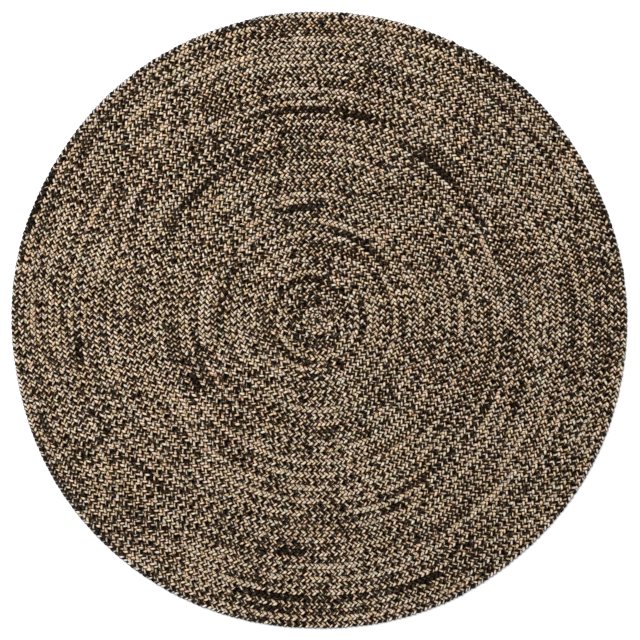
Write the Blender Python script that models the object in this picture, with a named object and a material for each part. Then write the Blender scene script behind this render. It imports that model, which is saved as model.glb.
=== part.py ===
"""A round rug: two jute plaits coiled side by side from the middle and sewn edge to edge.

Metres, +Z up. The rug lies flat on Z = 0 with its middle at the origin. Angles are degrees
counter-clockwise from +X, seen from above, and the coil grows that way. A plait's place in the coil
is its row: a seam lies at each whole number and a plait's crest half way between two of them.
"""

import math

import bmesh
import bpy

# Driving sizes
RADIUS = 0.600
PLAIT_WIDTH = 0.0127
THICKNESS = 0.0090
SEAM_DEPTH = 0.0024
RIM_TOP = 0.0056
RIM_LOW = 0.0026
UNDER_EDGE_INSET = 0.0024

# The coil, counted in rows
PLAITS_IN_COIL = 2
HALF_ROW = 0.5
ROW_AT_MIDDLE = 2.75
ROWS_AT_RIM = RADIUS / PLAIT_WIDTH
FIRST_ROW = HALF_ROW
LAST_ROW = ROW_AT_MIDDLE + ROWS_AT_RIM + HALF_ROW
CORE_ROWS = 0.8
RIM_SNAP_ROWS = 0.2

# In a turn the coil steps out past its two plaits on one side, and settles back on the other
SETTLE_ROWS = 0.42
STEP_OUT = {"rows": PLAITS_IN_COIL + SETTLE_ROWS, "start": 10.0, "length": 140.0}
SETTLE_BACK = {"rows": SETTLE_ROWS, "start": 180.0, "length": 95.0}

# At the rim each plait ends in a short taper, which keeps the rug round and stands a little proud
PLAIT_ENDS = (64.6, 104.4)
END_TAPER = 6.0
END_TAPER_PAST = 1.0
END_RISE = 0.0020
END_RISE_LENGTH = 13.0
RIM_ROWS_AFFECTED = 6.5

# Unevenness of the outline: waves round the rim, each with its height and the angle of a crest
OUTLINE_WAVES = (
    {"waves": 2, "height": 0.0010, "crest": 75.0},
    {"waves": 3, "height": 0.0005, "crest": 94.0},
    {"waves": 4, "height": 0.0012, "crest": 48.0},
    {"waves": 6, "height": 0.0007, "crest": 50.0},
    {"waves": 9, "height": 0.0006, "crest": 50.0},
)

# Mesh lines from the middle to the rim: all of them in the outer rows, and fewer further in
SPOKES = 72
SPOKES_FURTHER_IN = (
    {"inside_row": 8.0, "one_in": 4},
    {"inside_row": 24.0, "one_in": 2},
)

WELD = 1e-5


def smooth_step(value):
    """0 below 0, 1 above 1 and an even curve between."""
    value = min(max(value, 0.0), 1.0)
    return value * value * (3.0 - 2.0 * value)


def ramp(angle, start, length):
    return smooth_step((angle - start) / length)


def coil_shift(angle):
    """How many rows a seam has moved out since angle 0, away from the rim."""
    out = STEP_OUT["rows"] * ramp(angle, STEP_OUT["start"], STEP_OUT["length"])
    back = SETTLE_BACK["rows"] * ramp(angle, SETTLE_BACK["start"], SETTLE_BACK["length"])
    return out - back


def rim_shift(angle):
    """The same at the rim, where a seam moves out only as a plait ends."""
    return sum(
        ramp(angle, end - END_TAPER, END_TAPER + END_TAPER_PAST) for end in PLAIT_ENDS
    )


def outline(angle):
    """The rug's radius at this angle."""
    radius = RADIUS
    for wave in OUTLINE_WAVES:
        radius += wave["height"] * math.cos(
            math.radians(wave["waves"] * (angle - wave["crest"]))
        )
    for end in PLAIT_ENDS:
        before = (end - angle) / END_RISE_LENGTH
        if 0.0 < before < 1.0:
            radius += END_RISE * (1.0 - smooth_step(before))
    return radius


def place_in_coil(row, angle):
    """The row counted from the middle, and its radius at this angle."""
    plain = row - ROW_AT_MIDDLE + coil_shift(angle)
    at_rim = smooth_step((plain - ROWS_AT_RIM + RIM_ROWS_AFFECTED) / RIM_ROWS_AFFECTED)
    rows_out = plain + at_rim * (rim_shift(angle) - coil_shift(angle))
    edge = outline(angle)
    return plain, min(rows_out / ROWS_AT_RIM, 1.0) * edge, edge


def spoke_used(spoke, rows_out):
    """The mesh line that a point sits on, so that the middle has fewer of them."""
    for band in SPOKES_FURTHER_IN:
        if rows_out < band["inside_row"]:
            return spoke - spoke % band["one_in"]
    return spoke


def place_point(spoke, step):
    """A point of the ribbed top: crests at the even steps and seams at the odd ones."""
    row = FIRST_ROW + HALF_ROW * step
    rows_out = place_in_coil(row, spoke * 360.0 / SPOKES)[0]
    angle = spoke_used(spoke, rows_out) * 360.0 / SPOKES
    _, radius, edge = place_in_coil(row, angle)
    at_seam = step % 2 == 1
    height = THICKNESS - (SEAM_DEPTH if at_seam else 0.0)
    if radius < CORE_ROWS * PLAIT_WIDTH:
        radius = 0.0
        height = THICKNESS - SEAM_DEPTH / 2.0
    elif radius > edge - RIM_SNAP_ROWS * PLAIT_WIDTH:
        radius = edge
        height = RIM_TOP
    turn = math.radians(angle)
    return radius * math.cos(turn), radius * math.sin(turn), height


def make_ribbed_top(bm):
    """A flat grid, spokes along X and half rows along Y, wrapped round the middle and welded."""
    steps = int(round((LAST_ROW - FIRST_ROW) / HALF_ROW))
    bmesh.ops.create_grid(bm, x_segments=SPOKES, y_segments=steps, size=1.0)
    for vert in bm.verts:
        spoke = int(round((vert.co.x + 1.0) / 2.0 * SPOKES))
        step = int(round((vert.co.y + 1.0) / 2.0 * steps))
        vert.co = place_point(spoke, step)
    bmesh.ops.remove_doubles(bm, verts=bm.verts, dist=WELD)


def add_rim_ring(bm, edges, height, inset):
    """Pulls a new ring down from the rim and returns its edges."""
    pulled = bmesh.ops.extrude_edge_only(bm, edges=edges)["geom"]
    for vert in (item for item in pulled if isinstance(item, bmesh.types.BMVert)):
        radius = math.hypot(vert.co.x, vert.co.y)
        vert.co.xy = vert.co.xy * ((radius - inset) / radius)
        vert.co.z = height
    return [item for item in pulled if isinstance(item, bmesh.types.BMEdge)]


def make_rug_mesh():
    bm = bmesh.new()
    make_ribbed_top(bm)
    edges = [edge for edge in bm.edges if edge.is_boundary]
    edges = add_rim_ring(bm, edges, RIM_LOW, 0.0)
    edges = add_rim_ring(bm, edges, 0.0, UNDER_EDGE_INSET)
    bmesh.ops.edgeloop_fill(bm, edges=edges)
    bmesh.ops.recalc_face_normals(bm, faces=bm.faces)
    mesh = bpy.data.meshes.new("braided_rug")
    bm.to_mesh(mesh)
    bm.free()
    return mesh


def make_jute_material():
    """Natural and black jute plaited together, which reads as a dark tan from a step away."""
    material = bpy.data.materials.new("natural_and_black_jute_plait")
    material.use_nodes = True
    shader = material.node_tree.nodes["Principled BSDF"]
    shader.inputs["Base Color"].default_value = (0.16, 0.115, 0.078, 1.0)
    shader.inputs["Roughness"].default_value = 0.9
    shader.inputs["Metallic"].default_value = 0.0
    return material


def clear_scene():
    for item in list(bpy.data.objects):
        bpy.data.objects.remove(item, do_unlink=True)


def main():
    clear_scene()
    collection = bpy.data.collections.new("round_jute_rug")
    bpy.context.scene.collection.children.link(collection)
    rug = bpy.data.objects.new("braided_rug", make_rug_mesh())
    rug.data.materials.append(make_jute_material())
    collection.objects.link(rug)


main()
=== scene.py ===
"""A round rug of two jute plaits, coiled side by side from the middle and sewn edge to edge.

Metres, +Z up. Angles are degrees counter-clockwise from +X, seen from above, and the coil grows that way.
A plait's place in the coil is its row: a seam lies at each whole number, and a plait fills the row between
two of them. Each plait is made straight, as three strands that cross over and under, and is then bent
along its row.
"""

import math

import bmesh
import bpy
import numpy as np
from bpy.props import FloatProperty, FloatVectorProperty, PointerProperty
from bpy.types import Operator, Panel, PropertyGroup
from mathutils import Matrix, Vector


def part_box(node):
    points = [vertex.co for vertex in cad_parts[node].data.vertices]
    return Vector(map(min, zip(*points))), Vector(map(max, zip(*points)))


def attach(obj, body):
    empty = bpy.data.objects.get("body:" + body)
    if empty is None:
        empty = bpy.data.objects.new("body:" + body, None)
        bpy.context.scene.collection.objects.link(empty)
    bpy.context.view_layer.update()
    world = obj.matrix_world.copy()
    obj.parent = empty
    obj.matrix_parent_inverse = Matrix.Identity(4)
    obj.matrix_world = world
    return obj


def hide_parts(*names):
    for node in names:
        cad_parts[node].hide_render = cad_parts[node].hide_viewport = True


bl_info = {
    "name": "Round jute rug",
    "version": (1, 0, 0),
    "blender": (4, 5, 0),
    "location": "View3D > Sidebar > Jute rug",
    "description": "Two three-strand jute plaits, coiled side by side and sewn into a round rug",
    "category": "Object",
}

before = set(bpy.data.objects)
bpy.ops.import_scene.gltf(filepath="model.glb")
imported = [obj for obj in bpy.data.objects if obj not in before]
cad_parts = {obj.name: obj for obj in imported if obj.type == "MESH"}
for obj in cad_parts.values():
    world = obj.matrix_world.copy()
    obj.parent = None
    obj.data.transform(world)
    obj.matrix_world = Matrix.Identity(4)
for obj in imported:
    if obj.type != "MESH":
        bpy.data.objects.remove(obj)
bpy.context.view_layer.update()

RUG_NODE = "braided_rug"
RUG_BODY = "root"
MM = 0.001

# The coil, counted in rows
PLAITS_IN_COIL = 2
HALF_ROW = 0.5
ROW_AT_MIDDLE = 2.75
SETTLE_ROWS = 0.42
STEP_OUT = {"rows": PLAITS_IN_COIL + SETTLE_ROWS, "start": 10.0, "length": 140.0}
SETTLE_BACK = {"rows": SETTLE_ROWS, "start": 180.0, "length": 95.0}

# At the rim each plait ends in a short taper, which keeps the rug round and stands a little proud
DARK_END, LIGHT_END = 64.6, 104.4
END_TAPER = 6.0
END_TAPER_PAST = 1.0
END_RISE = 2.0 * MM
END_RISE_LENGTH = 13.0
RIM_ROWS_AFFECTED = 6.5

# Unevenness of the outline: waves round the rim, each with its height and the angle of a crest
OUTLINE_WAVES = (
    {"waves": 2, "height": 1.0 * MM, "crest": 75.0},
    {"waves": 3, "height": 0.5 * MM, "crest": 94.0},
    {"waves": 4, "height": 1.2 * MM, "crest": 48.0},
    {"waves": 6, "height": 0.7 * MM, "crest": 50.0},
    {"waves": 9, "height": 0.6 * MM, "crest": 50.0},
)

# The two plaits: the row of the middle of each in its first turn, where it starts, how many whole turns
# it makes and the angle of its end, how much of its yarn is natural, and the seed of its unevenness
PLAITS = (
    {"name": "light_plait", "row": 2.5, "start": -40.0, "turns": 23, "end": LIGHT_END,
     "natural": 0.65, "seed": 11},
    {"name": "dark_plait", "row": 1.5, "start": 85.0, "turns": 24, "end": DARK_END,
     "natural": 0.52, "seed": 23},
)
SECTIONS = ("inner", "middle", "outer")

# Stretches where a plait's yarn runs darker or paler: the row and the angles they lie at, and the change
# in how much of the yarn is natural
RUNS = (
    {"row": 1.5, "from": 85.0, "to": 360.0, "natural": 0.30},
    {"row": 2.5, "from": 40.0, "to": 360.0, "natural": 0.30},
    {"row": 3.5, "from": 100.0, "to": 360.0, "natural": -0.30},
    {"row": 4.5, "from": 60.0, "to": 270.0, "natural": -0.35},
    {"row": 5.0, "from": 0.0, "to": 60.0, "natural": -0.40},
    {"row": 6.5, "from": 80.0, "to": 360.0, "natural": 0.20},
    {"row": 7.5, "from": 190.0, "to": 360.0, "natural": -0.10},
    {"row": 8.5, "from": 0.0, "to": 80.0, "natural": 0.20},
    {"row": 9.5, "from": 0.0, "to": 30.0, "natural": -0.20},
    {"row": 15.0, "from": 0.0, "to": 35.0, "natural": 0.35},
    {"row": 15.5, "from": 35.0, "to": 85.0, "natural": -0.60},
    {"row": 18.0, "from": 0.0, "to": 70.0, "natural": 0.35},
    {"row": 18.5, "from": 85.0, "to": 115.0, "natural": -0.60},
    {"row": 21.5, "from": 200.0, "to": 213.0, "natural": -0.50},
    {"row": 27.5, "from": 95.0, "to": 145.0, "natural": -0.25},
    {"row": 29.5, "from": 265.0, "to": 360.0, "natural": -0.30},
    {"row": 31.5, "from": 25.0, "to": 70.0, "natural": -0.40},
    {"row": 31.5, "from": 275.0, "to": 298.0, "natural": -0.45},
    {"row": 33.0, "from": 65.0, "to": 110.0, "natural": -0.50},
    {"row": 36.5, "from": 257.0, "to": 272.0, "natural": -0.60},
    {"row": 40.5, "from": 220.0, "to": 240.0, "natural": -0.45},
    {"row": 42.5, "from": 100.0, "to": 135.0, "natural": 0.35},
    {"row": 43.5, "from": 250.0, "to": 308.0, "natural": -0.40},
    {"row": 45.5, "from": 254.0, "to": 267.0, "natural": -0.45},
    {"row": 47.5, "from": 148.0, "to": 165.0, "natural": -0.45},
)
# A stretch fades out over these rows to each side, and over these degrees inside its two ends
RUN_ROWS = 1.0
RUN_FADE = 5.0

# A strand's way through one period of the plait, by phases in degrees: 90 and 270 are the plait's edges.
# On top, where it is steepest, it runs from an edge to the middle, and below from there to the other edge.
STRANDS = 3
RING_PHASES = (8.0, 60.0, 84.0, 104.0, 150.0, 188.0, 240.0, 264.0, 284.0, 330.0, 368.0)
PHASE_STEP = 1.0
STEEPER_ON_TOP = 0.050
STEEPEST_PHASE = 140.0
SHARPER_TURNS = 0.10
EDGE_OVERLAP = 1.0 * MM

# Its cross-section: a little larger, because flat sides cut across its curve, and narrower where it turns
# and where it dives
STRAND_SIDES = 5
FIRST_CORNER = 18.0
ROUND_OUT = 1.06
PINCH = 0.10

# Sewing draws a plait's edges down, so its upper side is crowned
EDGE_DROP = 2.8 * MM
CROWN_POWER = 4.0

# Unevenness of a plait: how far apart it changes, and how much. The slow one is of its natural yarn.
PITCH_WANDER = {"every": 70.0 * MM, "size": 2.2 * MM}
SLOW_WANDER = {"every": 260.0 * MM, "size": 0.04}
PLAIT_TINT_WANDER = {"every": 60.0 * MM, "size": 0.15}

# The same of each strand: the first three are lengths, and the others shares
STRAND_WANDERS = {
    "sideways": {"every": 13.0 * MM, "size": 0.28 * MM},
    "along": {"every": 17.0 * MM, "size": 0.70 * MM},
    "height": {"every": 15.0 * MM, "size": 0.25 * MM},
    "thickness": {"every": 11.0 * MM, "size": 0.07},
    "tint": {"every": 12.0 * MM, "size": 0.75},
    "blush": {"every": 12.0 * MM, "size": 0.75},
    "balance": {"every": 60.0 * MM, "size": 0.10},
}
KNOTS_BEFORE, KNOTS_AFTER = 2.0, 3.0

# Yarn: two to a strand, most often one natural and one black, each of one colour for a run of its length.
# The first is natural more often than the plait's share of natural yarn says, and the second less often.
YARNS = {"yarn_a": 0.47, "yarn_b": -0.47}
YARN_RUN = {"shortest": 20.0 * MM, "longest": 110.0 * MM}
SPARE_PIECES = 2
EVEN_SHARE = 0.5
NATURAL_TONE = 0.88
TONE_WANDER = {"every": 7.0 * MM, "natural": 0.14, "black": 0.03}

# Natural yarn goes from golden to pale by its tint, and from green to rosy by its blush, each from 0 to 1
TINTS = ("tint", "blush")
EVEN_TINT = 0.5

# The two yarns of a strand lie side by side, and now and then they turn over and change places
CHANGE_PLACES = {"every": 29.0 * MM, "chance": 0.22, "turn": 0.5, "uneven": 0.05}

# What a plait's mesh carries: the values of its yarn, two helpers and a map that go once it is laid, and
# its two maps. In the strand map the strands lie a metre apart, so that their patterns differ. In the bake
# map each period of a strand has a cell, and the ends that close the strands share the last one.
YARN_VALUES = (*YARNS, *TINTS, "twist", "balance")
STRAND_NUMBER, FROM_MIDDLE = "strand_number", "from_middle"
CELL_MAP = "cell"
STRAND_MAP = "strand"
STRANDS_APART = 1.0
BAKE_MAP = "OFBake"
CELL_MARGIN = 0.08
END_IN_CELL = 0.3
QUAD_CORNERS = 4
WELD = 0.01 * MM


# ---------------------------------------------------------------- sizes and colours


def linear(hex_code):
    """An sRGB hex value as linear red, green, blue and a full alpha."""
    shares = [int(hex_code[i : i + 2], 16) / 255.0 for i in (1, 3, 5)]
    return [c / 12.92 if c <= 0.04045 else ((c + 0.055) / 1.055) ** 2.4 for c in shares] + [1.0]


def length_property(name, description, default):
    return FloatProperty(
        name=name, description=description, default=default, unit="LENGTH", subtype="DISTANCE"
    )


def colour_property(name, description, hex_code):
    return FloatVectorProperty(
        name=name, description=description, default=linear(hex_code), size=4, subtype="COLOR"
    )


class RugSizes(PropertyGroup):
    """What the rug and its plaits measure."""

    radius: length_property("Radius", "From the middle to the rim", 600.0 * MM)
    plait_width: length_property("Plait width", "From seam to seam", 12.7 * MM)
    thickness: length_property(
        "Thickness", "From the floor to the top of the plaits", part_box(RUG_NODE)[1].z
    )
    period: length_property(
        "Plait period", "The length in which a strand comes back to its place", 29.1 * MM
    )
    strand_width: length_property("Strand width", "Across the flat of a strand", 6.3 * MM)
    strand_depth: length_property("Strand depth", "Through the flat of a strand", 4.0 * MM)
    # The dark sheet inside the plaits is painted shade, seen in the gaps between their strands
    shade_sheet_crest: length_property(
        "Shade sheet crest", "Height of the shade sheet inside, under a plait", 5.0 * MM
    )
    shade_sheet_seam: length_property(
        "Shade sheet seam", "Height of the shade sheet inside, at a seam", 3.0 * MM
    )
    shade_sheet_inset: length_property(
        "Shade sheet inset", "How far the shade sheet stays inside the rim", 3.0 * MM
    )


class RugColours(PropertyGroup):
    """The jute's colours, and the colours of painted shade."""

    natural_pale: colour_property("Natural, pale", "Natural jute at its palest", "#E1D7CC")
    natural_golden: colour_property("Natural, golden", "Natural jute at its warmest", "#E8C484")
    natural_rosy: colour_property("Natural, rosy", "Natural jute at its reddest", "#EAC0A6")
    natural_green: colour_property("Natural, green", "Natural jute at its greenest", "#CACFAC")
    bleached: colour_property("Bleached", "The fibres that light has bleached", "#DFD2C3")
    black_yarn: colour_property("Black", "Jute yarn dyed black", "#160E0B")
    # Painted shade: the yarn's colour is multiplied by this in its groove and deep inside the rug
    shaded: colour_property("Shaded", "What the yarn's colour is dimmed by inside", "#806248")
    # Painted shade: the dark sheet seen between the strands
    gap_shade: colour_property("Gap shade", "The shaded jute between the strands", "#0E0A08")


class RugStage(PropertyGroup):
    """The floor, the lights and the camera."""

    floor_colour: colour_property("Floor", "A plain white floor", "#FAFAFA")
    key_power: FloatProperty(
        name="Key light", description="Power of the soft light above", default=95.0, unit="POWER"
    )
    sky_strength: FloatProperty(
        name="Fill", description="Strength of the even light all round", default=0.75, min=0.0
    )
    camera_height: length_property("Camera height", "Above the floor", 2.6)
    picture_width: length_property("Picture width", "What the picture spans on the rug", 1.2424)
    shift_right: length_property("Camera to the right", "Of the rug's middle", 1.5 * MM)
    shift_up: length_property("Camera up", "Of the rug's middle", 1.0 * MM)


# ---------------------------------------------------------------- the coil


def smooth_step(value):
    """0 below 0, 1 above 1 and an even curve between."""
    value = np.clip(value, 0.0, 1.0)
    return value * value * (3.0 - 2.0 * value)


def ramp(angle, start, length):
    return smooth_step((angle - start) / length)


def coil_shift(angle):
    """How many rows a seam has moved out since angle 0, away from the rim."""
    out = STEP_OUT["rows"] * ramp(angle, STEP_OUT["start"], STEP_OUT["length"])
    back = SETTLE_BACK["rows"] * ramp(angle, SETTLE_BACK["start"], SETTLE_BACK["length"])
    return out - back


def rim_shift(angle):
    """The same at the rim, where a seam moves out only as a plait ends."""
    return sum(
        ramp(angle, end - END_TAPER, END_TAPER + END_TAPER_PAST) for end in (DARK_END, LIGHT_END)
    )


def outline(sizes, angle):
    """The rug's radius at these angles."""
    radius = np.full_like(angle, sizes.radius)
    for wave in OUTLINE_WAVES:
        radius += wave["height"] * np.cos(np.radians(wave["waves"] * (angle - wave["crest"])))
    for end in (DARK_END, LIGHT_END):
        before = (end - angle) / END_RISE_LENGTH
        near = (before > 0.0) & (before < 1.0)
        radius += np.where(near, END_RISE * (1.0 - smooth_step(before)), 0.0)
    return radius


def seam_radius(sizes, row, angle):
    """The radius of the coil's row at these angles, no further out than the rim."""
    rows_at_rim = sizes.radius / sizes.plait_width
    plain = row - ROW_AT_MIDDLE + coil_shift(angle)
    at_rim = smooth_step((plain - rows_at_rim + RIM_ROWS_AFFECTED) / RIM_ROWS_AFFECTED)
    rows_out = plain + at_rim * (rim_shift(angle) - coil_shift(angle))
    return np.minimum(rows_out / rows_at_rim, 1.0) * outline(sizes, angle)


# A plait's path: degrees from point to point, how narrow the coil may squeeze it in its first turn, as a
# share of its width, and the length of the small knot that it starts in
PATH_STEP = 0.5
NARROWEST_AT_START = 0.6
KNOT_LENGTH = 8.0 * MM


def plait_path(sizes, plait):
    """The middle line of a plait from the rug's middle to the plait's end, as columns of numbers.

    Facing is the direction of the plait's outer side, at a right angle to the line.
    """
    last = 360.0 * plait["turns"] + plait["end"]
    turned = np.arange(plait["start"], last, PATH_STEP)
    turns = np.floor(turned / 360.0)
    angle = turned - 360.0 * turns
    row = plait["row"] + PLAITS_IN_COIL * turns
    inner = seam_radius(sizes, row - HALF_ROW, angle)
    outer = seam_radius(sizes, row + HALF_ROW, angle)
    radius = (inner + outer) / 2.0
    around = np.radians(turned)
    heading_out = np.arctan2(np.gradient(radius, around), np.maximum(radius, MM))
    x, y = radius * np.cos(around), radius * np.sin(around)
    steps = np.hypot(np.diff(x), np.diff(y))
    heading = np.unwrap(np.arctan2(np.gradient(y), np.gradient(x)))
    squeeze = (outer - inner) * np.cos(heading_out) / sizes.plait_width
    first_turn = turned < plait["start"] + 360.0
    squeeze = np.where(first_turn, np.maximum(squeeze, NARROWEST_AT_START), squeeze)
    return {
        "along": np.concatenate([[0.0], np.cumsum(steps)]),
        "x": x,
        "y": y,
        "facing": heading - np.pi / 2.0,
        "squeeze": squeeze,
        "row": row,
        "angle": angle,
    }


# ---------------------------------------------------------------- one plait, straight


def squarer(wave):
    """A wave between -1 and 1 with flatter tops and quicker changes."""
    return np.sin(np.pi / 2.0 * wave)


def strand_point(sizes, phase):
    """Where the middle of a strand is at these phases: across, along and up."""
    turn = np.radians(phase)
    swing = (sizes.plait_width - sizes.strand_depth) / 2.0 + EDGE_OVERLAP
    lift = (sizes.thickness - sizes.strand_depth) / 2.0
    past_steepest = np.radians(2.0 * (phase - STEEPEST_PHASE))
    across = swing * (np.sin(turn) - SHARPER_TURNS * np.sin(3.0 * turn)) / (1.0 + SHARPER_TURNS)
    along = sizes.period * (turn - STEEPER_ON_TOP * np.sin(past_steepest)) / (2.0 * np.pi)
    over_or_under = squarer(squarer(-np.sin(2.0 * turn)))
    up = sizes.thickness / 2.0 + lift * over_or_under
    return np.stack([across, along, up], axis=-1)


def strand_radius(sizes):
    """The radius of a round strand of about the same girth as the flat one."""
    return (sizes.strand_width + sizes.strand_depth) / 4.0


def strand_ring(sizes, phase):
    """The middle of one ring of a strand, and its corners measured from there."""
    ahead = strand_point(sizes, phase + PHASE_STEP) - strand_point(sizes, phase - PHASE_STEP)
    ahead = ahead / np.linalg.norm(ahead)
    lean = -np.pi / 2.0 * math.sin(np.pi / 2.0 * math.cos(math.radians(phase)))
    face_out = np.array([math.cos(lean), 0.0, math.sin(lean)])
    face_out = face_out - ahead * (face_out @ ahead)
    face_out = face_out / np.linalg.norm(face_out)
    sideways = np.cross(ahead, face_out)
    corners = np.radians(FIRST_CORNER + 360.0 / STRAND_SIDES * np.arange(STRAND_SIDES + 1))
    pinched = 1.0 - PINCH * math.cos(math.radians(2.0 * phase)) ** 2
    deep = ROUND_OUT * sizes.strand_depth / 2.0 * np.cos(corners)
    wide = pinched * ROUND_OUT * sizes.strand_width / 2.0 * np.sin(corners)
    return strand_point(sizes, phase), np.outer(deep, face_out) + np.outer(wide, sideways)


def make_plait_unit(sizes):
    """One period of the three strands: each is a flat grid, wrapped into a tube along its way."""
    bm = bmesh.new()
    strand_of = bm.verts.layers.int.new(STRAND_NUMBER)
    from_middle = bm.verts.layers.float_vector.new(FROM_MIDDLE)
    bm.loops.layers.uv.new(CELL_MAP)
    rings = len(RING_PHASES) - 1
    for strand in range(STRANDS):
        set_back = sizes.period * strand / STRANDS
        grid = bmesh.ops.create_grid(
            bm, x_segments=rings, y_segments=STRAND_SIDES, size=1.0, calc_uvs=True
        )
        for vert in grid["verts"]:
            ring = int(round((vert.co.x + 1.0) / 2.0 * rings))
            corner = int(round((vert.co.y + 1.0) / 2.0 * STRAND_SIDES))
            middle, corners = strand_ring(sizes, RING_PHASES[ring])
            vert[strand_of] = strand
            vert[from_middle] = corners[corner]
            vert.co = middle + corners[corner] + np.array([0.0, set_back, 0.0])
    bmesh.ops.remove_doubles(bm, verts=bm.verts, dist=WELD)
    mesh = bpy.data.meshes.new("plait_unit")
    bm.to_mesh(mesh)
    bm.free()
    return mesh


def repeat_unit(sizes, unit, count, name):
    """The unit repeated along Y, its strands joined end to end and closed at both ends."""
    maker = bpy.data.objects.new(name, unit)
    bpy.context.scene.collection.objects.link(maker)
    array = maker.modifiers.new("repeat", "ARRAY")
    array.fit_type = "FIXED_COUNT"
    array.count = count
    array.use_relative_offset = False
    array.use_constant_offset = True
    array.constant_offset_displace = (0.0, sizes.period, 0.0)
    array.use_merge_vertices = True
    array.merge_threshold = WELD
    mesh = bpy.data.meshes.new_from_object(
        maker.evaluated_get(bpy.context.evaluated_depsgraph_get())
    )
    bpy.data.objects.remove(maker)
    bm = bmesh.new()
    bm.from_mesh(mesh)
    ends = [edge for edge in bm.edges if edge.is_boundary]
    bmesh.ops.holes_fill(bm, edges=ends, sides=STRAND_SIDES)
    bmesh.ops.recalc_face_normals(bm, faces=bm.faces)
    bm.to_mesh(mesh)
    bm.free()
    mesh.name = name
    return mesh


# ---------------------------------------------------------------- unevenness and yarn


def knots_along(length, every):
    """The places along a plait, and a few before and after it, at which its unevenness is drawn."""
    return np.arange(-KNOTS_BEFORE * every, length + KNOTS_AFTER * every, every)


class Wander:
    """Unevenness that changes gradually along a length, the same at each run for one seed."""

    def __init__(self, rng, length, every, size):
        self.knots = knots_along(length, every)
        self.values = rng.normal(0.0, size, len(self.knots))

    def at(self, along):
        return np.interp(along, self.knots, self.values)


class Twist:
    """How far the two yarns of a strand have turned round each other, in turns."""

    def __init__(self, rng, length):
        self.knots = knots_along(length, CHANGE_PLACES["every"])
        changes = np.cumsum(rng.random(len(self.knots)) < CHANGE_PLACES["chance"])
        first = rng.integers(0, 2)
        uneven = rng.normal(0.0, CHANGE_PLACES["uneven"], len(self.knots))
        self.turns = CHANGE_PLACES["turn"] * (first + changes) + uneven

    def at(self, along):
        return np.interp(along, self.knots, self.turns)


class Joins:
    """Yarn joined piece to piece: each piece has one level between 0 and 1."""

    def __init__(self, rng, length):
        pieces = int(length / YARN_RUN["shortest"]) + SPARE_PIECES
        lengths = rng.uniform(YARN_RUN["shortest"], YARN_RUN["longest"], pieces)
        self.ends = np.cumsum(lengths)
        self.levels = rng.uniform(0.0, 1.0, pieces)

    def at(self, along):
        piece = np.searchsorted(self.ends, along)
        return self.levels[np.minimum(piece, len(self.levels) - 1)]


class Handwork:
    """All that is uneven in one plait, worked out for its whole length before it is cut in sections."""

    def __init__(self, seed, length):
        rng = np.random.default_rng(seed)
        self.pitch = Wander(rng, length, **PITCH_WANDER)
        self.slow = Wander(rng, length, **SLOW_WANDER)
        self.strands = [self.one_strand(rng, length) for _ in range(STRANDS)]
        self.tints = {tint: Wander(rng, length, **PLAIT_TINT_WANDER) for tint in TINTS}

    def one_strand(self, rng, length):
        strand = {name: Wander(rng, length, **wander) for name, wander in STRAND_WANDERS.items()}
        strand["twist"] = Twist(rng, length)
        for yarn in YARNS:
            strand[yarn] = Joins(rng, length)
            strand[yarn + "_tone"] = Wander(rng, length, TONE_WANDER["every"], 1.0)
        return strand


def natural_share(plait, handwork, path, along):
    """How much of the yarn is natural at these places, from the plait, its runs and slow change."""
    row = np.interp(along, path["along"], path["row"])
    angle = np.interp(along, path["along"], path["angle"])
    share = plait["natural"] + handwork.slow.at(along)
    for run in RUNS:
        in_row = np.clip(1.0 - np.abs(row - run["row"]) / RUN_ROWS, 0.0, 1.0)
        begun = ramp(angle, run["from"], RUN_FADE)
        ended = ramp(angle, run["to"] - RUN_FADE, RUN_FADE)
        share += run["natural"] * in_row * (begun - ended)
    return share


def yarn_tone(strand, yarn, along, share):
    """0 for black yarn and 1 for the palest natural yarn, at these places."""
    natural = strand[yarn].at(along) < share
    unevenness = strand[yarn + "_tone"].at(along)
    pale = NATURAL_TONE + TONE_WANDER["natural"] * unevenness
    dark = TONE_WANDER["black"] * np.abs(unevenness)
    return np.clip(np.where(natural, pale, dark), 0.0, 1.0)


# ---------------------------------------------------------------- laying a plait in the coil


def read_points(mesh, name, kind, width):
    """An attribute of the mesh's points: a row of numbers for each point, or one whole number."""
    values = np.zeros(len(mesh.vertices) * width, np.float32 if kind != "value" else np.int32)
    mesh.attributes[name].data.foreach_get(kind, values)
    return values.reshape(-1, width).astype(float) if width > 1 else values


def gathered(along, lead):
    """Draws the strands' uneven beginnings together, so that a plait starts in a small knot.

    The first strand begins this lead before the last one, which begins where the plait does.
    """
    in_knot = KNOT_LENGTH * (along + lead) / (KNOT_LENGTH + lead)
    return np.where(along < KNOT_LENGTH, in_knot, along)


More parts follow.
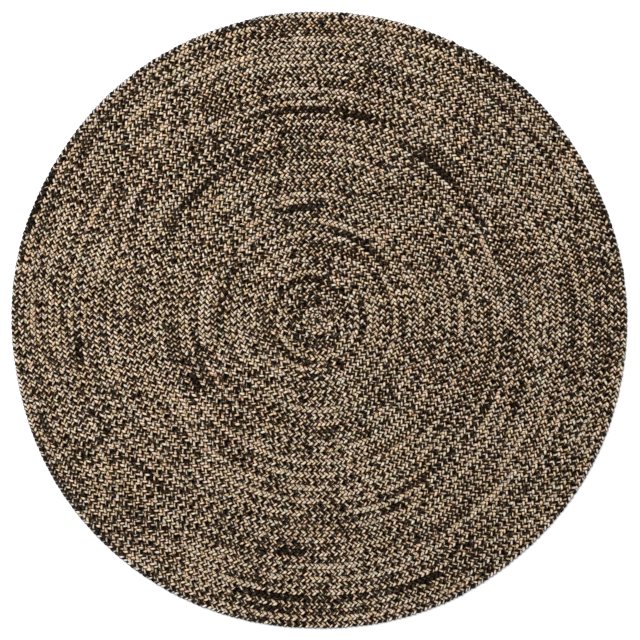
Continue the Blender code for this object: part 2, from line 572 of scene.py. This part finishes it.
def lay_in_coil(sizes, plait, path, handwork, mesh, start):
    """Bends a straight section along its row and gives its points their yarn."""
    place = read_points(mesh, "position", "vector", 3)
    offset = read_points(mesh, FROM_MIDDLE, "vector", 3)
    strand_of = read_points(mesh, STRAND_NUMBER, "value", 1)
    middle = place - offset
    lead = sizes.period * (STRANDS - 1) / STRANDS
    start = start - lead
    along = start + middle[:, 1]
    values = {name: np.zeros(len(place), np.float32) for name in YARN_VALUES}
    share = natural_share(plait, handwork, path, along)
    for number, strand in enumerate(handwork.strands):
        mine = strand_of == number
        there = along[mine]
        middle[mine, 0] += strand["sideways"].at(there)
        middle[mine, 1] += strand["along"].at(there)
        middle[mine, 2] += strand["height"].at(there)
        offset[mine] *= 1.0 + strand["thickness"].at(there)[:, None]
        for yarn, more in YARNS.items():
            values[yarn][mine] = yarn_tone(strand, yarn, there, share[mine] + more)
        for tint in TINTS:
            level = EVEN_TINT + strand[tint].at(there) + handwork.tints[tint].at(there)
            values[tint][mine] = np.clip(level, 0.0, 1.0)
        values["twist"][mine] = strand["twist"].at(there) + FIRST_CORNER / 360.0
        values["balance"][mine] = share[mine] - EVEN_SHARE + strand["balance"].at(there)
    place = middle + offset
    along = gathered(start + place[:, 1] + handwork.pitch.at(along), lead)
    squeeze = np.interp(along, path["along"], path["squeeze"])
    facing = np.interp(along, path["along"], path["facing"])
    across = place[:, 0] * squeeze
    from_crest = np.minimum(np.abs(place[:, 0]) / (HALF_ROW * sizes.plait_width), 1.0)
    drop = EDGE_DROP * from_crest**CROWN_POWER
    place[:, 2] -= drop * np.maximum(2.0 * place[:, 2] / sizes.thickness - 1.0, 0.0)
    place[:, 0] = np.interp(along, path["along"], path["x"]) + across * np.cos(facing)
    place[:, 1] = np.interp(along, path["along"], path["y"]) + across * np.sin(facing)
    highest = sizes.thickness + STRAND_WANDERS["height"]["size"]
    place[:, 2] = np.clip(place[:, 2], 0.0, highest)
    mesh.vertices.foreach_set("co", place.astype(np.float32).ravel())
    for name, numbers in values.items():
        mesh.attributes.new(name, "FLOAT", "POINT").data.foreach_set("value", numbers)


def strand_lengths(sizes):
    """The length of a strand from its first ring to each ring of a period."""
    rings = strand_point(sizes, np.array(RING_PHASES))
    return np.concatenate([[0.0], np.cumsum(np.linalg.norm(np.diff(rings, axis=0), axis=1))])


def map_strands(sizes, mesh, count):
    """Two maps: STRAND_MAP in real lengths along each strand, and BAKE_MAP with a cell for each period."""
    corners = len(mesh.loops)
    cell = np.zeros(corners * 2, np.float32)
    mesh.uv_layers[CELL_MAP].data.foreach_get("uv", cell)
    cell = cell.reshape(-1, 2)
    in_strand = (len(RING_PHASES) - 1) * STRAND_SIDES * QUAD_CORNERS
    number = np.arange(corners)
    copy = number // (in_strand * STRANDS)
    strand = number // in_strand % STRANDS
    ring = cell[:, 0] * (len(RING_PHASES) - 1)
    lengths = strand_lengths(sizes)
    along = np.interp(ring, np.arange(len(lengths)), lengths) + copy * lengths[-1]
    strands = np.stack([along + STRANDS_APART * strand, cell[:, 1]], axis=-1)
    girth = 2.0 * math.pi * strand_radius(sizes)
    cells = STRANDS * count + 1
    columns = int(math.ceil(math.sqrt(cells * girth / lengths[-1])))
    rows = int(math.ceil(cells / columns))
    place = np.minimum(strand * count + copy, cells - 1)
    inside = CELL_MARGIN + (1.0 - 2.0 * CELL_MARGIN) * cell[:, 1]
    u = (place % columns + cell[:, 0]) / columns
    v = (place // columns + inside) / rows
    ends = number >= in_strand * STRANDS * count
    turn = number[ends] * (2.0 * math.pi / STRAND_SIDES)
    spare = cells - 1
    u[ends] = (spare % columns + 0.5 + END_IN_CELL * np.cos(turn)) / columns
    v[ends] = (spare // columns + 0.5 + END_IN_CELL * np.sin(turn)) / rows
    for name, values in ((STRAND_MAP, strands), (BAKE_MAP, np.stack([u, v], axis=-1))):
        layer = mesh.uv_layers.new(name=name)
        layer.data.foreach_set("uv", values.astype(np.float32).ravel())
    mesh.uv_layers.remove(mesh.uv_layers[CELL_MAP])
    mesh.uv_layers[STRAND_MAP].active_render = True


def make_plait(sizes, plait, material):
    """One plait in its sections, laid along its row of the coil."""
    path = plait_path(sizes, plait)
    length = path["along"][-1]
    periods = int(length / sizes.period)
    handwork = Handwork(plait["seed"], length)
    unit = make_plait_unit(sizes)
    done = 0
    for number, section in enumerate(SECTIONS):
        upto = periods * (number + 1) // len(SECTIONS)
        name = f"{plait['name']}_{section}"
        mesh = repeat_unit(sizes, unit, upto - done, name)
        lay_in_coil(sizes, plait, path, handwork, mesh, done * sizes.period)
        map_strands(sizes, mesh, upto - done)
        for helper in (STRAND_NUMBER, FROM_MIDDLE):
            mesh.attributes.remove(mesh.attributes[helper])
        mesh.shade_smooth()
        add_piece(name, mesh, material)
        done = upto
    bpy.data.meshes.remove(unit)


# ---------------------------------------------------------------- the dark sheet inside, painted shade between the strands


# Mesh lines from the middle to the rim, the height of its underside, the rows that it is made from and to,
# and how many rows from the middle they end in one point
SHEET_SPOKES = 144
SHEET_UNDER = 0.6 * MM
FIRST_ROW = HALF_ROW
LAST_ROW_PAST_RIM = 3.5
SHEET_CORE_ROWS = 0.8


def place_shade_sheet(sizes, spoke, step):
    """A point of the ribbed top of the dark sheet: crests at the even steps and seams at the odd ones."""
    row = np.array(FIRST_ROW + HALF_ROW * step)
    angle = np.array(spoke * 360.0 / SHEET_SPOKES)
    radius = float(seam_radius(sizes, row, angle))
    edge = float(outline(sizes, angle)) - sizes.shade_sheet_inset
    at_seam = step % 2 == 1
    height = sizes.shade_sheet_seam if at_seam else sizes.shade_sheet_crest
    if radius < SHEET_CORE_ROWS * sizes.plait_width:
        radius = 0.0
        height = sizes.shade_sheet_seam
    elif radius > edge:
        radius = edge
        height = sizes.shade_sheet_seam
    turn = math.radians(angle)
    return radius * math.cos(turn), radius * math.sin(turn), height


def make_filling(sizes):
    """A dark ribbed disc inside the plaits, painted shade: it stands for the lower strands in shade, seen
    between the strands above.
    """
    last = ROW_AT_MIDDLE + sizes.radius / sizes.plait_width + LAST_ROW_PAST_RIM
    steps = int(round((last - FIRST_ROW) / HALF_ROW))
    bm = bmesh.new()
    bmesh.ops.create_grid(bm, x_segments=SHEET_SPOKES, y_segments=steps, size=1.0)
    for vert in bm.verts:
        spoke = int(round((vert.co.x + 1.0) / 2.0 * SHEET_SPOKES))
        step = int(round((vert.co.y + 1.0) / 2.0 * steps))
        vert.co = place_shade_sheet(sizes, spoke % SHEET_SPOKES, step)
    bmesh.ops.remove_doubles(bm, verts=bm.verts, dist=WELD)
    rim = [edge for edge in bm.edges if edge.is_boundary]
    lowered = bmesh.ops.extrude_edge_only(bm, edges=rim)["geom"]
    for vert in (item for item in lowered if isinstance(item, bmesh.types.BMVert)):
        vert.co.z = SHEET_UNDER
    under = [item for item in lowered if isinstance(item, bmesh.types.BMEdge)]
    bmesh.ops.edgeloop_fill(bm, edges=under)
    bmesh.ops.recalc_face_normals(bm, faces=bm.faces)
    mesh = bpy.data.meshes.new("shade_sheet")
    bm.to_mesh(mesh)
    bm.free()
    return mesh


# ---------------------------------------------------------------- materials


# The kinds of node that come often, and a Mix node's sockets, by number because their names repeat
MATH, MIX = "ShaderNodeMath", "ShaderNodeMix"
FACTOR = 0
NUMBER_A, NUMBER_B, MIXED_NUMBER = 2, 3, 0
COLOUR_A, COLOUR_B, MIXED_COLOUR = 6, 7, 2

# Fibres and slubs: how wide they are round a strand and how long along it. A jute fibre is under 0.1 mm
# wide, too fine to show in the render, so fibres are drawn as coarse as they have to be to show.
FIBRES = {"width": 0.40 * MM, "length": 7.0 * MM, "detail": 2.0, "roughness": 0.6}
SLUBS = {"width": 1.5 * MM, "length": 3.6 * MM, "detail": 1.0, "roughness": 0.5}
SPUN_TURN = 38.0 * MM

# How sharply one yarn gives way to the other, and how fibres and slubs change a yarn's tone
YARN_EDGE = 6.0
STREAKS = 1.8
SLUB_CONTRAST = 2.2
TONE_SHIFT = -0.04
STRAY_FIBRES, STRAY_ABOVE = 0.5, 0.55
BLEACHED, BLEACHED_ABOVE = 0.9, 0.55

# Painted shade: the yarn is dark in the groove between two yarns, and this far above and below half height
GROOVE_WIDTH = 0.30
SHADED_INSIDE = {"all": 1.4 * MM, "none": 3.7 * MM}

# Painted shade for the rim's shadowed edge: how far in from the rim the yarn is greyed, and how much of
# its colour is left at the rim
RIM_SHADE_WIDTH = 9.0 * MM
RIM_SATURATION = 0.45

# The yarn's surface, and the blotches in the dark sheet's painted shade
BUMP = {"Strength": 0.6, "Distance": 0.5 * MM}
LEAST_ROUGH, ROUGHER_FIBRES = 0.72, 0.2
YARN_SPECULAR = 0.03
BLOTCH_SIZE = 4.0 * MM
BLOTCH_DARKNESS = 0.5


def add_node(tree, kind, inputs=None, **settings):
    """Adds a node with its settings. Each input gets a value, or an output that is linked to it."""
    node = tree.nodes.new(kind)
    for name, value in settings.items():
        setattr(node, name, value)
    for socket, given in (inputs or {}).items():
        if isinstance(given, bpy.types.NodeSocket):
            tree.links.new(given, node.inputs[socket])
        else:
            node.inputs[socket].default_value = given
    return node


def start_material(name):
    material = bpy.data.materials.new(name)
    material.use_nodes = True
    tree = material.node_tree
    return material, tree, tree.nodes["Principled BSDF"]


def grain_of_strand(tree, sizes, grain, turn, along):
    """Noise that follows a strand, from how far round it and along it a place is."""
    reach = strand_radius(sizes) / grain["width"]
    ahead = {0: along, 1: 1.0 / grain["length"]}
    place = {"Z": add_node(tree, MATH, ahead, operation="MULTIPLY").outputs[0]}
    for axis, wave in (("X", "COSINE"), ("Y", "SINE")):
        round_it = add_node(tree, MATH, {0: turn}, operation=wave).outputs[0]
        place[axis] = add_node(tree, MATH, {0: round_it, 1: reach}, operation="MULTIPLY").outputs[0]
    where = add_node(tree, "ShaderNodeCombineXYZ", place).outputs["Vector"]
    return add_node(
        tree,
        "ShaderNodeTexNoise",
        {
            "Vector": where,
            "Scale": 1.0,
            "Detail": grain["detail"],
            "Roughness": grain["roughness"],
        },
    ).outputs["Fac"]


def light_inside(tree, sizes):
    """1 on the rug's two faces, and down to 0 inside it: painted shade, darkest near half height."""
    where = add_node(tree, "ShaderNodeTexCoord").outputs["Object"]
    height = add_node(tree, "ShaderNodeSeparateXYZ", {"Vector": where}).outputs["Z"]
    half_height = sizes.thickness / 2.0
    above = add_node(tree, MATH, {0: height, 1: half_height}, operation="SUBTRACT").outputs[0]
    from_middle = add_node(tree, MATH, {0: above}, operation="ABSOLUTE").outputs[0]
    return add_node(
        tree,
        "ShaderNodeMapRange",
        {
            "Value": from_middle,
            "From Min": SHADED_INSIDE["all"],
            "From Max": SHADED_INSIDE["none"],
        },
        interpolation_type="SMOOTHSTEP",
    ).outputs["Result"]


def rim_painted_shade(tree, sizes):
    """Up to 1 at the rug's rim, where the yarn is greyed as painted shade for the rim's shadowed edge."""
    where = add_node(tree, "ShaderNodeTexCoord").outputs["Object"]
    flat = add_node(
        tree, "ShaderNodeVectorMath", {0: where, 1: (1.0, 1.0, 0.0)}, operation="MULTIPLY"
    ).outputs["Vector"]
    radius = add_node(tree, "ShaderNodeVectorMath", {0: flat}, operation="LENGTH").outputs["Value"]
    return add_node(
        tree,
        "ShaderNodeMapRange",
        {"Value": radius, "From Min": sizes.radius - RIM_SHADE_WIDTH, "From Max": sizes.radius},
    ).outputs["Result"]


def make_jute_yarn(sizes, colours):
    """Spun jute yarn, two to a strand and loosely twisted: matt, fibrous, pale tan or black.

    The twist shows as a dark line between the two yarns, painted shade in their groove, and the fibres as
    fine streaks along them. Painted shade also darkens the yarn inside the rug and greys it at the rim.
    """
    material, tree, shader = start_material("spun_jute_yarn")
    first, second, tint, blush, twist, balance = (
        add_node(tree, "ShaderNodeAttribute", attribute_name=name).outputs["Fac"]
        for name in YARN_VALUES
    )
    strand_map = add_node(tree, "ShaderNodeUVMap", uv_map=STRAND_MAP).outputs["UV"]
    split = add_node(tree, "ShaderNodeSeparateXYZ", {"Vector": strand_map})
    along, round_it = split.outputs["X"], split.outputs["Y"]
    turns = add_node(tree, MATH, {0: twist, 1: round_it}, operation="ADD").outputs[0]
    turn = add_node(tree, MATH, {0: turns, 1: 2.0 * math.pi}, operation="MULTIPLY").outputs[0]
    wave = add_node(tree, MATH, {0: turn}, operation="SINE").outputs[0]
    side = add_node(tree, MATH, {0: wave, 1: balance}, operation="SUBTRACT").outputs[0]

    # Which yarn shows
    which = add_node(
        tree, MATH, {0: side, 1: YARN_EDGE, 2: 0.5}, operation="MULTIPLY_ADD", use_clamp=True
    ).outputs[0]
    tone = add_node(
        tree, MIX, {FACTOR: which, NUMBER_A: first, NUMBER_B: second}, data_type="FLOAT"
    ).outputs[MIXED_NUMBER]

    # Fibres: fine streaks that wind round the strand, as spinning leaves them
    spun = add_node(
        tree, MATH, {0: along, 1: 2.0 * math.pi / SPUN_TURN, 2: turn}, operation="MULTIPLY_ADD"
    ).outputs[0]
    fibres = grain_of_strand(tree, sizes, FIBRES, spun, along)

    # Slubs: thick and thin places in the yarn, which catch more light or less
    slubs = grain_of_strand(tree, sizes, SLUBS, turn, along)

    # From black to natural: the yarn's tone with its streaks and slubs, and stray pale fibres on all of it
    streaks = add_node(
        tree, MATH, {0: fibres, 1: STREAKS, 2: -0.5 * STREAKS}, operation="MULTIPLY_ADD"
    ).outputs[0]
    shifted = add_node(tree, MATH, {0: streaks, 1: TONE_SHIFT}, operation="ADD").outputs[0]
    shade = add_node(
        tree, MATH, {0: slubs, 1: SLUB_CONTRAST, 2: shifted}, operation="MULTIPLY_ADD"
    ).outputs[0]
    stray = add_node(
        tree,
        MATH,
        {0: fibres, 1: STRAY_FIBRES, 2: -STRAY_ABOVE * STRAY_FIBRES},
        operation="MULTIPLY_ADD",
    ).outputs[0]
    stray = add_node(tree, MATH, {0: stray, 1: 0.0}, operation="MAXIMUM").outputs[0]
    uneven_tone = add_node(
        tree, MATH, {0: tone, 1: shade, 2: stray}, operation="MULTIPLY_ADD", use_clamp=True
    ).outputs[0]
    bleached = add_node(
        tree,
        MATH,
        {0: uneven_tone, 1: BLEACHED, 2: -BLEACHED_ABOVE * BLEACHED},
        operation="MULTIPLY_ADD",
        use_clamp=True,
    ).outputs[0]

    # Natural: golden or pale and green or rosy in equal parts, and bleached where the yarn is palest
    golden_or_pale = add_node(
        tree,
        MIX,
        {FACTOR: tint, COLOUR_A: colours.natural_golden, COLOUR_B: colours.natural_pale},
        data_type="RGBA",
    ).outputs[MIXED_COLOUR]
    green_or_rosy = add_node(
        tree,
        MIX,
        {FACTOR: blush, COLOUR_A: colours.natural_green, COLOUR_B: colours.natural_rosy},
        data_type="RGBA",
    ).outputs[MIXED_COLOUR]
    natural = add_node(
        tree, MIX, {FACTOR: 0.5, COLOUR_A: golden_or_pale, COLOUR_B: green_or_rosy}, data_type="RGBA"
    ).outputs[MIXED_COLOUR]
    natural = add_node(
        tree, MIX, {FACTOR: bleached, COLOUR_A: natural, COLOUR_B: colours.bleached}, data_type="RGBA"
    ).outputs[MIXED_COLOUR]
    colour = add_node(
        tree,
        MIX,
        {FACTOR: uneven_tone, COLOUR_A: colours.black_yarn, COLOUR_B: natural},
        data_type="RGBA",
    ).outputs[MIXED_COLOUR]

    # Painted shade: dark in the groove between the yarns and inside the rug, and greyed at the rim's
    # shadowed edge
    from_groove = add_node(tree, MATH, {0: side}, operation="ABSOLUTE").outputs[0]
    groove = add_node(
        tree,
        "ShaderNodeMapRange",
        {"Value": from_groove, "From Min": 0.0, "From Max": GROOVE_WIDTH},
        interpolation_type="SMOOTHSTEP",
    ).outputs["Result"]
    inside = light_inside(tree, sizes)
    light = add_node(tree, MATH, {0: groove, 1: inside}, operation="MULTIPLY").outputs[0]
    shaded = add_node(
        tree,
        MIX,
        {FACTOR: 1.0, COLOUR_A: colour, COLOUR_B: colours.shaded},
        data_type="RGBA",
        blend_type="MULTIPLY",
    ).outputs[MIXED_COLOUR]
    colour = add_node(
        tree, MIX, {FACTOR: light, COLOUR_A: shaded, COLOUR_B: colour}, data_type="RGBA"
    ).outputs[MIXED_COLOUR]
    # Painted shade: the yarn is greyed towards the rim
    greyed = add_node(
        tree,
        "ShaderNodeHueSaturation",
        {"Fac": rim_painted_shade(tree, sizes), "Color": colour, "Saturation": RIM_SATURATION},
    ).outputs["Color"]
    tree.links.new(greyed, shader.inputs["Base Color"])

    # Relief: the groove between the yarns, and the fibres
    relief = add_node(tree, MATH, {0: fibres, 1: groove}, operation="ADD").outputs[0]
    bump = add_node(tree, "ShaderNodeBump", {"Height": relief, **BUMP}).outputs["Normal"]
    tree.links.new(bump, shader.inputs["Normal"])
    roughness = add_node(
        tree, MATH, {0: fibres, 1: ROUGHER_FIBRES, 2: LEAST_ROUGH}, operation="MULTIPLY_ADD"
    ).outputs[0]
    tree.links.new(roughness, shader.inputs["Roughness"])
    shader.inputs["Specular IOR Level"].default_value = YARN_SPECULAR
    return material


def make_shade_sheet_paint(colours):
    """Painted shade for the dark sheet between the strands: it stands for the lower strands in shade, matt
    and almost black.
    """
    material, tree, shader = start_material("shade_sheet")
    where = add_node(tree, "ShaderNodeTexCoord").outputs["Object"]
    blotches = add_node(
        tree, "ShaderNodeTexNoise", {"Vector": where, "Scale": 1.0 / BLOTCH_SIZE}
    ).outputs["Fac"]
    darker = [share * BLOTCH_DARKNESS for share in colours.gap_shade[:3]] + [1.0]
    colour = add_node(
        tree, MIX, {FACTOR: blotches, COLOUR_A: darker, COLOUR_B: colours.gap_shade}, data_type="RGBA"
    ).outputs[MIXED_COLOUR]
    tree.links.new(colour, shader.inputs["Base Color"])
    shader.inputs["Roughness"].default_value = 0.95
    shader.inputs["Specular IOR Level"].default_value = 0.0
    return material


def make_floor_paint(stage):
    """A smooth white painted floor, matt enough to show no reflection."""
    material, _, shader = start_material("matt_white_paint")
    shader.inputs["Base Color"].default_value = stage.floor_colour
    shader.inputs["Roughness"].default_value = 0.8
    return material


# ---------------------------------------------------------------- pieces and operators


def add_piece(name, mesh, material):
    """An object at the origin that rides on the rug's body and stands for its solid."""
    mesh.materials.clear()
    mesh.materials.append(material)
    piece = bpy.data.objects.new(name, mesh)
    bpy.context.scene.collection.objects.link(piece)
    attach(piece, RUG_BODY)
    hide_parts(RUG_NODE)
    return piece


class JUTERUG_OT_make_plaits(Operator):
    """Makes the light and the dark plait, laid side by side in the coil"""

    bl_idname = "jute_rug.make_plaits"
    bl_label = "Make the plaits"
    bl_options = {"REGISTER", "UNDO"}

    def execute(self, context):
        scene = context.scene
        material = make_jute_yarn(scene.jute_rug_sizes, scene.jute_rug_colours)
        for plait in PLAITS:
            make_plait(scene.jute_rug_sizes, plait, material)
        return {"FINISHED"}


class JUTERUG_OT_make_shade_sheet(Operator):
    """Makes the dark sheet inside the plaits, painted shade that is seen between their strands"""

    bl_idname = "jute_rug.make_filling"
    bl_label = "Make the shade sheet"
    bl_options = {"REGISTER", "UNDO"}

    def execute(self, context):
        sizes = context.scene.jute_rug_sizes
        plaits = [f"{plait['name']}_{section}" for plait in PLAITS for section in SECTIONS]
        missing = [name for name in plaits if name not in bpy.data.objects]
        if missing:
            raise RuntimeError(f"the plaits have to be made first: {missing}")
        material = make_shade_sheet_paint(context.scene.jute_rug_colours)
        shade_sheet_piece = add_piece("shade_sheet", make_filling(sizes), material)
        return {"FINISHED"}


FLOOR_HALF = 3.0
KEY_LIGHT = {"place": (-0.9, 1.3, 3.0), "size": 2.2}
FILL_COLOUR = "#FFFFFF"
SENSOR_WIDTH = 36.0


class JUTERUG_OT_set_stage(Operator):
    """Makes the floor, the lights and the camera"""

    bl_idname = "jute_rug.set_stage"
    bl_label = "Set the stage"
    bl_options = {"REGISTER", "UNDO"}

    def execute(self, context):
        stage = context.scene.jute_rug_stage
        self.make_floor(context, stage)
        self.make_lights(context, stage)
        self.make_camera(context, stage)
        context.scene.view_settings.view_transform = "Standard"
        context.scene.view_settings.look = "None"
        return {"FINISHED"}

    def make_floor(self, context, stage):
        bm = bmesh.new()
        bmesh.ops.create_grid(bm, x_segments=1, y_segments=1, size=FLOOR_HALF)
        mesh = bpy.data.meshes.new("studio_floor")
        bm.to_mesh(mesh)
        bm.free()
        mesh.materials.append(make_floor_paint(stage))
        floor = bpy.data.objects.new("studio_floor", mesh)
        context.scene.collection.objects.link(floor)

    def make_lights(self, context, stage):
        light = bpy.data.lights.new("soft_key", "AREA")
        light.shape = "DISK"
        light.size = KEY_LIGHT["size"]
        light.energy = stage.key_power
        key = bpy.data.objects.new("soft_key", light)
        key.location = KEY_LIGHT["place"]
        key.rotation_euler = key.location.to_track_quat("Z", "Y").to_euler()
        context.scene.collection.objects.link(key)
        world = bpy.data.worlds.new("even_fill")
        world.use_nodes = True
        sky = world.node_tree.nodes["Background"]
        sky.inputs["Color"].default_value = linear(FILL_COLOUR)
        sky.inputs["Strength"].default_value = stage.sky_strength
        context.scene.world = world

    def make_camera(self, context, stage):
        data = bpy.data.cameras.new("from_above")
        top = context.scene.jute_rug_sizes.thickness
        data.sensor_width = SENSOR_WIDTH
        data.lens = SENSOR_WIDTH * (stage.camera_height - top) / stage.picture_width
        camera = bpy.data.objects.new("from_above", data)
        camera.location = (stage.shift_right, stage.shift_up, stage.camera_height)
        context.scene.collection.objects.link(camera)
        context.scene.camera = camera


class JUTERUG_PT_panel(Panel):
    """Lists the rug's pieces, sizes and colours in the 3D view's sidebar"""

    bl_idname = "JUTERUG_PT_panel"
    bl_label = "Round jute rug"
    bl_space_type = "VIEW_3D"
    bl_region_type = "UI"
    bl_category = "Jute rug"

    def draw(self, context):
        scene = context.scene
        for group in (scene.jute_rug_sizes, scene.jute_rug_colours, scene.jute_rug_stage):
            box = self.layout.box()
            for name in group.__annotations__:
                box.prop(group, name)
        for operator in OPERATORS:
            self.layout.operator(operator.bl_idname)


OPERATORS = (JUTERUG_OT_make_plaits, JUTERUG_OT_make_shade_sheet, JUTERUG_OT_set_stage)
CLASSES = (RugSizes, RugColours, RugStage, *OPERATORS, JUTERUG_PT_panel)


def register():
    for item in CLASSES:
        bpy.utils.register_class(item)
    bpy.types.Scene.jute_rug_sizes = PointerProperty(type=RugSizes)
    bpy.types.Scene.jute_rug_colours = PointerProperty(type=RugColours)
    bpy.types.Scene.jute_rug_stage = PointerProperty(type=RugStage)


def unregister():
    for name in ("jute_rug_sizes", "jute_rug_colours", "jute_rug_stage"):
        delattr(bpy.types.Scene, name)
    for item in reversed(CLASSES):
        bpy.utils.unregister_class(item)


def main():
    register()
    bpy.ops.jute_rug.make_plaits()
    bpy.ops.jute_rug.make_filling()
    bpy.ops.jute_rug.set_stage()


if __name__ == "__main__":
    main()
